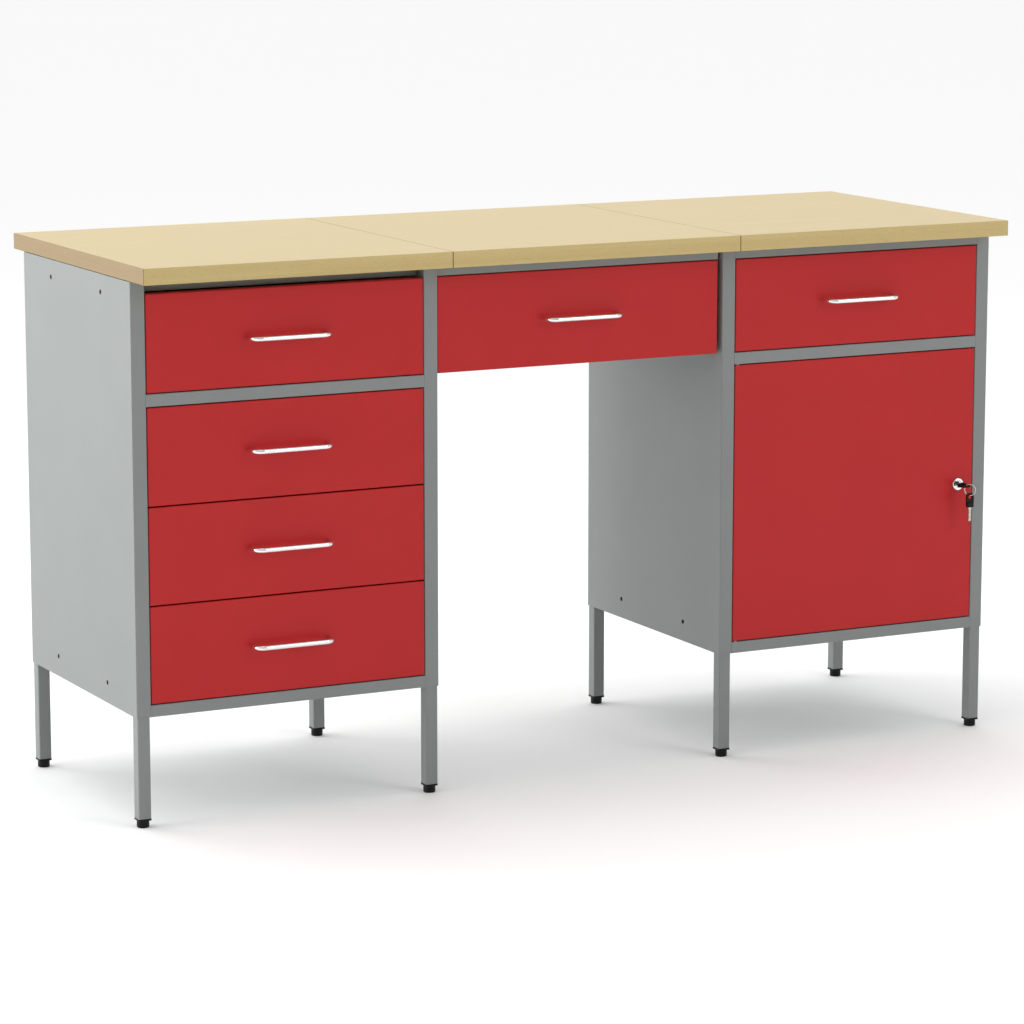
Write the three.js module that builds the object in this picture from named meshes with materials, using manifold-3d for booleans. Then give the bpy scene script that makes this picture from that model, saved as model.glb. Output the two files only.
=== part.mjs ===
// Steel workbench: two pedestal cabinets on square-tube legs under a three-board wooden worktop.
// The left cabinet holds four drawers, the right one a drawer over a lockable door, and a single
// drawer hangs in a housing over the knee space between them.
// Millimetres, +Z up. The origin is on the floor, under the middle of the worktop. The front is -Y.

import * as THREE from 'three';
import { mergeVertices } from 'three/addons/utils/BufferGeometryUtils.js';
import Module from 'manifold-3d';

const wasm = await Module();
wasm.setup();

// ---------------------------------------------------------------- driving dimensions

// Overall
const benchWidth = 1500;
const benchDepth = 550;
const benchHeight = 850;

// Worktop boards
const boardThickness = 25;
const boardSeam = 0.6;
const frontOverhang = 55;

// Cabinets
const cabinetWidth = 500;
const cabinetDepth = 450;
const cabinetBottom = 170;
const bottomRailHeight = 18;
const topOpeningHeight = 150;
const midRailHeight = 19;
const topRailHeight = 18;
const railDepth = 20;
const leftTopRailSetback = 25;
const rightTopRailSetback = 0;
const sheet = 1;
const sideHoleDiameter = 7.5;
const sideHoleFromFront = 120;
const sideHoleFromBack = 120;
const sideHoleFromEnd = 27;

// Legs and feet
const legSide = 20;
const legWall = 1.5;
const footHeight = 14;
const footFlange = 3;
const footPadDiameter = 18;
const footPadChamfer = 1.5;
const footPlugHeight = 16;

// Drawers
const frontDepth = 16;
const edgeGap = 1.5;
const betweenGap = 2;
const runnerReach = 12;
const runnerHeight = 13;
const runnerPlay = 0.6;
const trayBackSpace = 34;
const trayHeadroom = 29.4;
const trayLift = 8;
const trayPlay = 1.5;
const lowerDrawerCount = 3;

// Drawer over the knee space
const kneeRecess = 4;
const kneeGapLeft = 1.5;
const kneeGapRight = 7;
const kneeBackSpace = 21;

// Handles
const handleCentres = 128;
const handleBar = 8;
const handleStandoff = 25;
const handleBend = 14;
const handleStud = 4;
const handleStudLength = 10;

// Door, its pivots and the shelf behind it
const pivotPin = 4;
const pivotFromEdge = 6;
const pivotPinReach = 9;
const pivotCollar = 7;
const shelfAboveFloor = 210;
const shelfSetback = 45;
const shelfLip = 15;

// Lock and keys
const lockFromDoorEdge = 28;
const rosetteDiameter = 20;
const rosetteHeight = 2.5;
const barrelDiameter = 16;
const plugDiameter = 12;
const plugTail = 6;
const camThickness = 2;
const camWidth = 14;
const camLength = 38;
const camBehindPost = 0.8;
const bladeWidth = 5.2;
const bladeThickness = 1.9;
const bladeInPlug = 16;
const keyHeadWidth = 14;
const keyHeadLength = 22;
const keyHeadThickness = 2.2;
const keyHeadOut = 31;
const keyHoleRadius = 3.5;
const keyHoleFromEnd = 6;
const spareBladeLength = 24;
const ringRadius = 9.25;
const ringWire = 1.4;
const ringDrop = 5.6;
const ringTurn = THREE.MathUtils.degToRad(-53);
const spareTurn = THREE.MathUtils.degToRad(38);

// Clearances: between pieces that touch, and round a pin or stud in its hole
const fit = 0.3;
const holeFit = 0.3;
const roundSides = 24;

// ---------------------------------------------------------------- sizes that follow

const postFace = sheet + fit;
const stile = legSide + 2 * postFace;
const postBack = postFace + legSide;
const cabinetTop = benchHeight - boardThickness - fit;
const floorTop = cabinetBottom + bottomRailHeight;
const topOpeningTop = benchHeight - boardThickness - topRailHeight;
const topOpeningBottom = topOpeningTop - topOpeningHeight;
const lowerOpeningTop = topOpeningBottom - midRailHeight;
const openingWidth = cabinetWidth - 2 * stile;
const framePlane = -benchDepth / 2 + frontOverhang;
const kneeWidth = benchWidth - 2 * cabinetWidth;
const trayFront = frontDepth + fit;
const trayLength = cabinetDepth - trayFront - trayBackSpace;

// ---------------------------------------------------------------- finishes

const greyPaint = { color: '#b4b8b7', roughness: 0.5, metalness: 0.0 };
const redPaint = { color: '#b4343a', roughness: 0.45, metalness: 0.0 };
const beech = { color: '#e9dabd', roughness: 0.6, metalness: 0.0 };
const chrome = { color: '#dcdde0', roughness: 0.12, metalness: 1.0 };
const steel = { color: '#a9abad', roughness: 0.35, metalness: 1.0 };
const blackPlastic = { color: '#0b0b0c', roughness: 0.5, metalness: 0.0 };

// ---------------------------------------------------------------- small tools

const bench = new THREE.Group();

function addPart(parent, name, geometry, finish) {
  const mesh = new THREE.Mesh(geometry, new THREE.MeshStandardMaterial(finish));
  mesh.name = name;
  parent.add(mesh);
  return mesh;
}

function groupAt(parent, x, y, z) {
  const group = new THREE.Group();
  group.position.set(x, y, z);
  parent.add(group);
  return group;
}

function slab(x0, x1, y0, y1, z0, z1) {
  const box = new THREE.BoxGeometry(x1 - x0, y1 - y0, z1 - z0);
  return box.translate((x0 + x1) / 2, (y0 + y1) / 2, (z0 + z1) / 2);
}

function welded(geometry) {
  const bare = geometry.clone();
  bare.deleteAttribute('normal');
  bare.deleteAttribute('uv');
  return mergeVertices(bare, 1e-4);
}

function signedVolume(geometry) {
  const position = geometry.getAttribute('position');
  const corners = [new THREE.Vector3(), new THREE.Vector3(), new THREE.Vector3()];
  let volume = 0;
  for (let i = 0; i < geometry.index.count; i += 3) {
    corners.forEach((corner, k) => corner.fromBufferAttribute(position, geometry.index.getX(i + k)));
    volume += corners[0].dot(corners[1].clone().cross(corners[2])) / 6;
  }
  return volume;
}

function solidOf(geometry) {
  const body = welded(geometry);
  const triangles = Uint32Array.from(body.index.array);
  if (signedVolume(body) < 0) {
    triangles.reverse();
  }
  const positions = Float32Array.from(body.getAttribute('position').array);
  const mesh = new wasm.Mesh({ numProp: 3, vertProperties: positions, triVerts: triangles });
  return new wasm.Manifold(mesh);
}

function geometryOf(solid) {
  const mesh = solid.getMesh();
  const geometry = new THREE.BufferGeometry();
  geometry.setAttribute('position', new THREE.Float32BufferAttribute(mesh.vertProperties, 3));
  geometry.setIndex(Array.from(mesh.triVerts));
  geometry.computeVertexNormals();
  return geometry;
}

function join(...pieces) {
  return geometryOf(pieces.map(solidOf).reduce((whole, piece) => whole.add(piece)));
}

function cut(base, ...tools) {
  return geometryOf(tools.map(solidOf).reduce((whole, tool) => whole.subtract(tool), solidOf(base)));
}

// A cylinder along Y, from y0 to y1.
function rodY(x, z, radius, y0, y1, sides = roundSides) {
  const rod = new THREE.CylinderGeometry(radius, radius, y1 - y0, sides);
  return rod.translate(x, (y0 + y1) / 2, z);
}

// The same along X, and along Z.
function rodX(y, z, radius, x0, x1, sides = roundSides) {
  const rod = new THREE.CylinderGeometry(radius, radius, x1 - x0, sides).rotateZ(Math.PI / 2);
  return rod.translate((x0 + x1) / 2, y, z);
}

function rodZ(x, y, radius, z0, z1, sides = roundSides) {
  const rod = new THREE.CylinderGeometry(radius, radius, z1 - z0, sides).rotateX(Math.PI / 2);
  return rod.translate(x, y, (z0 + z1) / 2);
}

function roundedOutline(width, height, radius) {
  const outline = new THREE.Shape();
  const w = width / 2;
  const h = height / 2;
  outline.moveTo(-w + radius, -h);
  outline.lineTo(w - radius, -h);
  outline.absarc(w - radius, -h + radius, radius, -Math.PI / 2, 0);
  outline.lineTo(w, h - radius);
  outline.absarc(w - radius, h - radius, radius, 0, Math.PI / 2);
  outline.lineTo(-w + radius, h);
  outline.absarc(-w + radius, h - radius, radius, Math.PI / 2, Math.PI);
  outline.lineTo(-w, -h + radius);
  outline.absarc(-w + radius, -h + radius, radius, Math.PI, 1.5 * Math.PI);
  return outline;
}

function plate(shape, thickness, curveSegments = 6) {
  return new THREE.ExtrudeGeometry(shape, { depth: thickness, bevelEnabled: false, curveSegments });
}

// ---------------------------------------------------------------- worktop

function addWorktop() {
  const end = benchWidth / 2;
  const seams = [-end, cabinetWidth - end, end - cabinetWidth, end];
  ['left', 'middle', 'right'].forEach((place, i) => {
    const x0 = seams[i] + (i > 0 ? boardSeam / 2 : 0);
    const x1 = seams[i + 1] - (i < 2 ? boardSeam / 2 : 0);
    const z0 = benchHeight - boardThickness;
    const board = slab(x0, x1, -benchDepth / 2, benchDepth / 2, z0, benchHeight);
    addPart(bench, `worktop_${place}`, board, beech);
  });
}

// ---------------------------------------------------------------- legs and feet

// A square tube that runs from the foot up inside the cabinet's corner, as its corner post.
function legTube() {
  const section = new THREE.Shape();
  const half = legSide / 2;
  section.moveTo(-half, -half);
  section.lineTo(half, -half);
  section.lineTo(half, half);
  section.lineTo(-half, half);
  section.closePath();
  const bore = new THREE.Path();
  const inner = half - legWall;
  bore.moveTo(-inner, -inner);
  bore.lineTo(-inner, inner);
  bore.lineTo(inner, inner);
  bore.lineTo(inner, -inner);
  bore.closePath();
  section.holes.push(bore);
  return plate(section, cabinetTop - fit - footHeight - fit).translate(0, 0, footHeight + fit);
}

// A push-in glide: a round pad, a square flange under the tube's end and a plug up inside it.
function foot() {
  const half = legSide / 2;
  const plugHalf = half - legWall - fit;
  const padTop = footHeight - footFlange;
  const radius = footPadDiameter / 2;
  const padProfile = [
    new THREE.Vector2(0, 0),
    new THREE.Vector2(radius - footPadChamfer, 0),
    new THREE.Vector2(radius, footPadChamfer),
    new THREE.Vector2(radius, padTop + 1),
    new THREE.Vector2(0, padTop + 1),
  ];
  const pad = new THREE.LatheGeometry(padProfile, roundSides).rotateX(Math.PI / 2);
  const flange = slab(-half, half, -half, half, padTop, footHeight);
  const plugTop = footHeight + footPlugHeight;
  const plug = slab(-plugHalf, plugHalf, -plugHalf, plugHalf, footHeight - 1, plugTop);
  return join(pad, flange, plug);
}

function addLegs(cabinet, side) {
  const near = postFace + legSide / 2;
  const places = [
    ['front_left', near, near],
    ['front_right', cabinetWidth - near, near],
    ['back_left', near, cabinetDepth - near],
    ['back_right', cabinetWidth - near, cabinetDepth - near],
  ];
  places.forEach(([place, x, y]) => {
    const corner = groupAt(cabinet, x, y, 0);
    addPart(corner, `${side}_leg_${place}`, legTube(), greyPaint);
    addPart(corner, `${side}_foot_${place}`, foot(), blackPlastic);
  });
}

// ---------------------------------------------------------------- cabinet

// One folded sheet, seen from above: stile, side, back, side, stile, each stile with an inner lip.
function shell() {
  const w = cabinetWidth;
  const d = cabinetDepth;
  const lip = postBack;
  const outline = new THREE.Shape();
  outline.moveTo(stile, lip);
  outline.lineTo(stile, 0);
  outline.lineTo(0, 0);
  outline.lineTo(0, d);
  outline.lineTo(w, d);
  outline.lineTo(w, 0);
  outline.lineTo(w - stile, 0);
  outline.lineTo(w - stile, lip);
  outline.lineTo(w - stile + sheet, lip);
  outline.lineTo(w - stile + sheet, sheet);
  outline.lineTo(w - sheet, sheet);
  outline.lineTo(w - sheet, d - sheet);
  outline.lineTo(sheet, d - sheet);
  outline.lineTo(sheet, sheet);
  outline.lineTo(stile - sheet, sheet);
  outline.lineTo(stile - sheet, lip);
  outline.closePath();
  const wrap = plate(outline, cabinetTop - cabinetBottom).translate(0, 0, cabinetBottom);
  const holes = [];
  const rows = [cabinetBottom + sideHoleFromEnd + 5, cabinetTop - sideHoleFromEnd];
  [sideHoleFromFront, cabinetDepth - sideHoleFromBack].forEach((y) => {
    rows.forEach((z) => holes.push(rodX(y, z, sideHoleDiameter / 2, -1, cabinetWidth + 1, 16)));
  });
  return cut(wrap, ...holes);
}

// A pan that closes the cabinet's top or bottom: a sheet notched round the corner posts, with its
// front edge folded to make the rail across the front.
function pan(faceZ, railLow, railHigh, setback) {
  const w = cabinetWidth;
  const back = cabinetDepth - sheet - fit;
  const x0 = stile + fit;
  const x1 = w - stile - fit;
  const middle = slab(x0, x1, setback, back, faceZ - sheet, faceZ);
  const y0 = postBack + fit;
  const y1 = cabinetDepth - postBack - fit;
  const wings = slab(postFace, w - postFace, y0, y1, faceZ - sheet, faceZ);
  const rail = slab(x0, x1, setback, setback + sheet, railLow, railHigh);
  return join(middle, wings, rail);
}

// The rail across the front between the drawer and what is below it: a channel open to the back.
function midRail() {
  const x0 = stile + fit;
  const x1 = cabinetWidth - stile - fit;
  const low = lowerOpeningTop;
  const high = topOpeningBottom;
  const outer = slab(x0, x1, 0, railDepth, low, high);
  return cut(outer, slab(x0 - 1, x1 + 1, sheet, railDepth + 1, low + sheet, high - sheet));
}

// A runner channel open towards the drawer, on one side (+1 is the left side of a drawer).
function runnerChannel(wallX, side, lipTop, y0, y1) {
  const low = lipTop - runnerPlay - sheet - sheet;
  const high = low + runnerHeight;
  const far = wallX + side * runnerReach;
  const box = slab(Math.min(wallX, far), Math.max(wallX, far), y0, y1, low, high);
  const hollowNear = wallX + side * sheet;
  const hollowFar = far + side;
  const x0 = Math.min(hollowNear, hollowFar);
  const x1 = Math.max(hollowNear, hollowFar);
  const hollow = slab(x0, x1, y0 - 1, y1 + 1, low + sheet, high - sheet);
  return cut(box, hollow);
}

// A plate against a cabinet's stiles and posts that carries one runner channel for each drawer.
function runnerPanel(side, low, high, lipTops) {
  const edge = side > 0 ? stile + fit : cabinetWidth - stile - fit;
  const inner = edge + side * sheet;
  const y0 = Math.max(trayFront, railDepth + fit);
  const y1 = cabinetDepth - postBack - fit;
  const wall = slab(Math.min(edge, inner), Math.max(edge, inner), y0, y1, low, high);
  const channels = lipTops.map((lipTop) => runnerChannel(edge, side, lipTop, y0, y1));
  return join(wall, ...channels);
}

function addCabinet(side, x, topRailSetback) {
  const cabinet = groupAt(bench, x, framePlane, 0);
  addPart(cabinet, `${side}_shell`, shell(), greyPaint);
  addPart(cabinet, `${side}_floor`, pan(floorTop, cabinetBottom, floorTop, 0), greyPaint);
  addPart(cabinet, `${side}_top`, pan(cabinetTop, topOpeningTop, cabinetTop, topRailSetback), greyPaint);
  addPart(cabinet, `${side}_mid_rail`, midRail(), greyPaint);
  addLegs(cabinet, side);
  return cabinet;
}

function addRunners(cabinet, side, low, lipTops) {
  const high = topOpeningTop - fit;
  addPart(cabinet, `${side}_runner_panel_left`, runnerPanel(1, low, high, lipTops), greyPaint);
  addPart(cabinet, `${side}_runner_panel_right`, runnerPanel(-1, low, high, lipTops), greyPaint);
}

// ---------------------------------------------------------------- drawers

// A shallow box of sheet, open at the back.
function foldedFront(width, height, ...holes) {
  const outer = slab(0, width, 0, frontDepth, 0, height);
  const hollow = slab(sheet, width - sheet, sheet, frontDepth + 1, sheet, height - sheet);
  return cut(outer, hollow, ...holes);
}

// An open tray with lips turned out along its two sides, which slide in the runner channels.
function tray(x0, x1, top) {
  const y0 = trayFront;
  const y1 = trayFront + trayLength;
  const lipReach = runnerReach + trayPlay - sheet - runnerPlay;
  const outer = slab(x0, x1, y0, y1, trayLift, top);
  const hollow = slab(x0 + sheet, x1 - sheet, y0 + sheet, y1 - sheet, trayLift + sheet, top + 1);
  const leftLip = slab(x0 - lipReach, x0 + sheet / 2, y0, y1, top - sheet, top);
  const rightLip = slab(x1 - sheet / 2, x1 + lipReach, y0, y1, top - sheet, top);
  return join(cut(outer, hollow), leftLip, rightLip);
}

// A round bar bent to a bow, with a threaded stud at each end through the drawer's front.
function handle() {
  const half = handleCentres / 2;
  const reach = handleStandoff + handleBar / 2;
  const r = handleBend;
  const path = new THREE.CurvePath();
  const bar = -reach + handleBar / 2;
  const at = (x, y) => new THREE.Vector3(x, y, 0);
  path.add(new THREE.LineCurve3(at(-half, -fit), at(-half, bar + r)));
  path.add(new THREE.QuadraticBezierCurve3(at(-half, bar + r), at(-half, bar), at(-half + r, bar)));
  path.add(new THREE.LineCurve3(at(-half + r, bar), at(half - r, bar)));
  path.add(new THREE.QuadraticBezierCurve3(at(half - r, bar), at(half, bar), at(half, bar + r)));
  path.add(new THREE.LineCurve3(at(half, bar + r), at(half, -fit)));
  const section = new THREE.Shape();
  section.absarc(0, 0, handleBar / 2, 0, 2 * Math.PI);
  const bow = new THREE.ExtrudeGeometry(section, { steps: 44, extrudePath: path, curveSegments: 5 });
  const studs = [-half, half].map((x) => rodY(x, 0, handleStud / 2, -fit - 2, handleStudLength, 12));
  return join(bow, ...studs);
}

function addDrawer(parent, name, x, y, z, width, height, inset) {
  const drawer = groupAt(parent, x, y, z);
  const middle = width / 2;
  const studRadius = handleStud / 2 + holeFit;
  const studXs = [middle - handleCentres / 2, middle + handleCentres / 2];
  const holes = studXs.map((sx) => rodY(sx, height / 2, studRadius, -1, sheet + 1, 12));
  addPart(drawer, `${name}_front`, foldedFront(width, height, ...holes), redPaint);
  addPart(drawer, `${name}_tray`, tray(inset, width - inset, height - trayHeadroom), greyPaint);
  addPart(groupAt(drawer, middle, 0, height / 2), `${name}_handle`, handle(), chrome);
}

function lipTopOf(frontBottom, frontHeight) {
  return frontBottom + frontHeight - trayHeadroom;
}

const frontWidth = openingWidth - 2 * edgeGap;
const topFrontBottom = topOpeningBottom + edgeGap;
const topFrontHeight = topOpeningHeight - 2 * edgeGap;
const lowerSpace = lowerOpeningTop - floorTop - 2 * edgeGap;
const lowerFrontHeight = (lowerSpace - (lowerDrawerCount - 1) * betweenGap) / lowerDrawerCount;
const cabinetInset = fit + runnerReach + trayPlay - edgeGap;

function addLeftDrawers(cabinet) {
  const x = stile + edgeGap;
  const lipTops = [lipTopOf(topFrontBottom, topFrontHeight)];
  addDrawer(cabinet, 'left_drawer_top', x, 0, topFrontBottom, frontWidth, topFrontHeight, cabinetInset);
  ['bottom', 'lower', 'upper'].slice(0, lowerDrawerCount).forEach((place, i) => {
    const z = floorTop + edgeGap + i * (lowerFrontHeight + betweenGap);
    addDrawer(cabinet, `left_drawer_${place}`, x, 0, z, frontWidth, lowerFrontHeight, cabinetInset);
    lipTops.push(lipTopOf(z, lowerFrontHeight));
  });
  addRunners(cabinet, 'left', floorTop + fit, lipTops);
}

function addRightDrawer(cabinet) {
  const x = stile + edgeGap;
  addDrawer(cabinet, 'right_drawer', x, 0, topFrontBottom, frontWidth, topFrontHeight, cabinetInset);
  addRunners(cabinet, 'right', topOpeningBottom + fit, [lipTopOf(topFrontBottom, topFrontHeight)]);
}

// ---------------------------------------------------------------- drawer over the knee space

// An inverted trough between the cabinets: top sheet, front rail, two side plates with runners.
function addKneeUnit() {
  const unit = groupAt(bench, -benchWidth / 2 + cabinetWidth, framePlane, 0);
  const x0 = kneeGapLeft;
  const x1 = kneeWidth - kneeGapRight;
  const top = cabinetTop;
  const y0 = kneeRecess;
  const y1 = cabinetDepth - kneeBackSpace;
  const frontBottom = topOpeningBottom;
  const frontHeight = topOpeningHeight - edgeGap;
  const lipTop = lipTopOf(frontBottom, frontHeight);
  const plateFront = kneeRecess + trayFront;
  const housing = join(
    slab(x0, x1, y0, y1, top - sheet, top),
    slab(x0, x1, y0, y0 + sheet, topOpeningTop, top),
    slab(x0, x0 + sheet, plateFront, y1, frontBottom, top),
    slab(x1 - sheet, x1, plateFront, y1, frontBottom, top),
    runnerChannel(x0, 1, lipTop, plateFront, y1),
    runnerChannel(x1, -1, lipTop, plateFront, y1),
  );
  addPart(unit, 'knee_drawer_housing', housing, greyPaint);
  const trayInset = runnerReach + trayPlay;
  addDrawer(unit, 'knee_drawer', x0, kneeRecess, frontBottom, x1 - x0, frontHeight, trayInset);
}

// ---------------------------------------------------------------- door, shelf, lock and keys

const doorHeight = lowerOpeningTop - floorTop - 2 * edgeGap;
const lockX = frontWidth - lockFromDoorEdge;
const lockZ = doorHeight / 2;
const pivotFromFace = sheet + pivotPin / 2 + 2 * holeFit;
const camFront = postBack + camBehindPost;
const barrelEnd = camFront - 4 * fit - sheet;

// A pin fixed in the rail, standing into the hole in the door's folded edge.
function pivotPinPiece(up) {
  const collar = rodZ(0, 0, pivotCollar / 2, 0, edgeGap - 2 * fit, 20);
  const pin = rodZ(0, 0, pivotPin / 2, 0, pivotPinReach, 20);
  const piece = join(collar, pin);
  return up ? piece : piece.rotateX(Math.PI);
}

function addDoor(cabinet) {
  const x = stile + edgeGap;
  const z = floorTop + edgeGap;
  const door = groupAt(cabinet, x, 0, z);
  const pinHole = pivotPin / 2 + holeFit;
  const pinY = pivotFromFace;
  const holes = [
    rodZ(pivotFromEdge, pinY, pinHole, -1, sheet + 1, 20),
    rodZ(pivotFromEdge, pinY, pinHole, doorHeight - sheet - 1, doorHeight + 1, 20),
    rodY(lockX, lockZ, barrelDiameter / 2 + holeFit, -1, sheet + 1),
  ];
  addPart(door, 'door', foldedFront(frontWidth, doorHeight, ...holes), redPaint);
  const lower = groupAt(cabinet, x + pivotFromEdge, pinY, floorTop + fit);
  addPart(lower, 'door_pivot_lower', pivotPinPiece(true), steel);
  const upper = groupAt(cabinet, x + pivotFromEdge, pinY, lowerOpeningTop - fit);
  addPart(upper, 'door_pivot_upper', pivotPinPiece(false), steel);
  return door;
}

// A loose shelf with folded edges, screwed to the cabinet's sides.
function addShelf(cabinet) {
  const z = floorTop + shelfAboveFloor;
  const x0 = postFace;
  const x1 = cabinetWidth - postFace;
  const y1 = cabinetDepth - postBack - fit;
  const outer = slab(x0, x1, shelfSetback, y1, z - shelfLip, z);
  const x2 = x0 + sheet;
  const x3 = x1 - sheet;
  const hollow = slab(x2, x3, shelfSetback + sheet, y1 - sheet, z - shelfLip - 1, z - sheet);
  addPart(cabinet, 'shelf', cut(outer, hollow), greyPaint);
}

// The housing fixed in the door: a rosette in front and a threaded barrel behind.
function lockBarrel() {
  const bore = plugDiameter / 2 + holeFit;
  const barrel = barrelDiameter / 2;
  const rosette = rosetteDiameter / 2;
  const rim = 0.8;
  const profile = [
    new THREE.Vector2(bore, -rosetteHeight - fit),
    new THREE.Vector2(rosette - rim, -rosetteHeight - fit),
    new THREE.Vector2(rosette, -rosetteHeight - fit + rim),
    new THREE.Vector2(rosette, -fit),
    new THREE.Vector2(barrel, -fit),
    new THREE.Vector2(barrel, barrelEnd),
    new THREE.Vector2(bore, barrelEnd),
    new THREE.Vector2(bore, -rosetteHeight - fit),
  ];
  return geometryOf(solidOf(new THREE.LatheGeometry(profile, 32)));
}

// The part the key turns: a round plug with a keyway and a square tail for the cam.
function lockPlug() {
  const face = -rosetteHeight;
  const shoulder = camFront - fit;
  const body = rodY(0, 0, plugDiameter / 2, face, shoulder, 32);
  const half = plugTail / 2;
  const tail = slab(-half, half, shoulder - 1, camFront + camThickness + 1, -half, half);
  const slotHalf = bladeWidth / 2 + fit;
  const slotRise = bladeThickness / 2 + fit;
  const slot = slab(-slotHalf, slotHalf, face - 1, bladeInPlug + fit, -slotRise, slotRise);
  return cut(join(body, tail), slot);
}

// A flat tongue on the plug's tail, hanging down when the lock is open.
function lockCam() {
  const outline = new THREE.Shape();
  const half = camWidth / 2;
  outline.absarc(0, 0, half, 0, Math.PI);
  outline.lineTo(-half, -camLength);
  outline.lineTo(half, -camLength);
  outline.closePath();
  const tongue = plate(outline, camThickness, 10).rotateX(Math.PI / 2);
  tongue.translate(0, camFront + camThickness, 0);
  const square = plugTail / 2 + holeFit;
  return cut(tongue, slab(-square, square, camFront - 1, camFront + camThickness + 1, -square, square));
}

// A flat key: its head is a rounded plate with a hole near the outer end. It lies along -Y, flat in
// the XY plane, with the middle of the hole at the origin.
function keyPiece(bladeLength) {
  const outline = roundedOutline(keyHeadWidth, keyHeadLength, 4);
  const holePath = new THREE.Path();
  const holeY = -keyHeadLength / 2 + keyHoleFromEnd;
  holePath.absarc(0, holeY, keyHoleRadius, 0, 2 * Math.PI, true);
  outline.holes.push(holePath);
  const head = plate(outline, keyHeadThickness, 8).translate(0, -holeY, -keyHeadThickness / 2);
  const neck = keyHeadLength - keyHoleFromEnd;
  const half = bladeWidth / 2;
  const rise = bladeThickness / 2;
  const blade = slab(-half, half, neck - 4, neck + bladeLength, -rise, rise);
  return join(head, blade);
}

function addLock(door) {
  const lock = groupAt(door, lockX, 0, lockZ);
  addPart(lock, 'lock_barrel', lockBarrel(), chrome);
  addPart(lock, 'lock_plug', lockPlug(), chrome);
  addPart(lock, 'lock_cam', lockCam(), steel);

  const holeY = -keyHeadOut + keyHoleFromEnd;
  const bladeLength = keyHeadOut - keyHeadLength + bladeInPlug;
  const key = groupAt(lock, 0, holeY, 0);
  addPart(key, 'key', keyPiece(bladeLength), blackPlastic);

  // The ring stands on edge through the key's hole, its middle lower than the key.
  const chord = Math.sqrt(ringRadius ** 2 - ringDrop ** 2);
  const ringGroup = groupAt(key, 0, 0, 0);
  ringGroup.rotation.z = ringTurn;
  const ringCentre = groupAt(ringGroup, chord, 0, -ringDrop);
  const ring = new THREE.TorusGeometry(ringRadius, ringWire / 2, 8, 32).rotateX(Math.PI / 2);
  addPart(ringCentre, 'key_ring', geometryOf(solidOf(ring)), steel);

  // The spare key hangs from the lowest point of the ring by the end of its hole.
  const hang = keyHoleRadius - ringWire / 2 - 2 * fit;
  const spare = groupAt(ringCentre, 0, 0, -ringRadius - hang);
  spare.rotation.z = Math.PI / 2 - spareTurn;
  const spareKey = keyPiece(spareBladeLength).rotateX(-Math.PI / 2);
  addPart(spare, 'spare_key', spareKey, blackPlastic);
}

// ---------------------------------------------------------------- the bench

addWorktop();
const leftCabinet = addCabinet('left', -benchWidth / 2, leftTopRailSetback);
addLeftDrawers(leftCabinet);
addKneeUnit();
const rightCabinet = addCabinet('right', benchWidth / 2 - cabinetWidth, rightTopRailSetback);
addRightDrawer(rightCabinet);
addShelf(rightCabinet);
addLock(addDoor(rightCabinet));

export default bench;
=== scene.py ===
"""The finished look of a steel workbench with drawers, built round its fixed frame. Metres."""
import math

import bmesh
import bpy
from mathutils import Matrix, Vector


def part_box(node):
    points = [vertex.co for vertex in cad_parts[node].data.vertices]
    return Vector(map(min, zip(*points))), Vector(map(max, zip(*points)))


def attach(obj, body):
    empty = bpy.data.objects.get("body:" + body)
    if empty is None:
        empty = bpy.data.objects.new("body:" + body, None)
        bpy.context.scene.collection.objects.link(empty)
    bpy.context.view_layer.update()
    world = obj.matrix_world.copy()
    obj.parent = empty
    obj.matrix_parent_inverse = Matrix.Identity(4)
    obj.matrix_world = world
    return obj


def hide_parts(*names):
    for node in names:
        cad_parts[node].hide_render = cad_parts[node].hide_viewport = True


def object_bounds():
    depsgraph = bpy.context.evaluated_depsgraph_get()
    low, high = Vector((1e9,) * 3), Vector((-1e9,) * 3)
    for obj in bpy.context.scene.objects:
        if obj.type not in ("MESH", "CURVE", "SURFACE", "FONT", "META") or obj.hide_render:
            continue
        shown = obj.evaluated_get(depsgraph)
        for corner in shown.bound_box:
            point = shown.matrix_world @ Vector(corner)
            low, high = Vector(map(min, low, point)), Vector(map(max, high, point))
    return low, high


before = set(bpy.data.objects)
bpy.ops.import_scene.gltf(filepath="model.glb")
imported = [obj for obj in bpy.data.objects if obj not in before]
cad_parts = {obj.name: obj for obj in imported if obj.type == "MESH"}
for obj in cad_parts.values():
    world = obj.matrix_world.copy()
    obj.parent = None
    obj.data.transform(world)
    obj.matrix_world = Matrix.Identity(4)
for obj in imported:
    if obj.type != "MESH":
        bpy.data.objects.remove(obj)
cad_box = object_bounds()

# ---------------------------------------------------------------- sizes, in metres

MM = 0.001
SHEET = 1.0 * MM            # wall of every folded steel piece
FOLD = 1.4 * MM             # outside radius of a fold in it
TUBE_WALL = 1.5 * MM
TUBE_ROUND = 1.8 * MM       # outside radius of a square tube's corners
BOARD_ROUND = 1.6 * MM      # softened edge round the worktop
SEAM_ROUND = 0.5 * MM       # edge of a board along a seam
SIDE_HOLE = 7.5 * MM
SIDE_HOLE_INSET = 120.0 * MM
SIDE_HOLE_LOW = 32.0 * MM
SIDE_HOLE_HIGH = 27.0 * MM
LEFT_TOP_RAIL_SETBACK = 25.0 * MM
RAIL_DEPTH = 20.0 * MM
PIN_HOLE = 2.3 * MM         # radius of the holes for a handle's studs and the door's pins
TRAY_LIP = 11.9 * MM        # reach of a tray's lip into its runner
KEY_HOLE_INSET = 6.0 * MM   # from the head's end to the middle of a key's hole
TINY = 0.02 * MM

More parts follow.
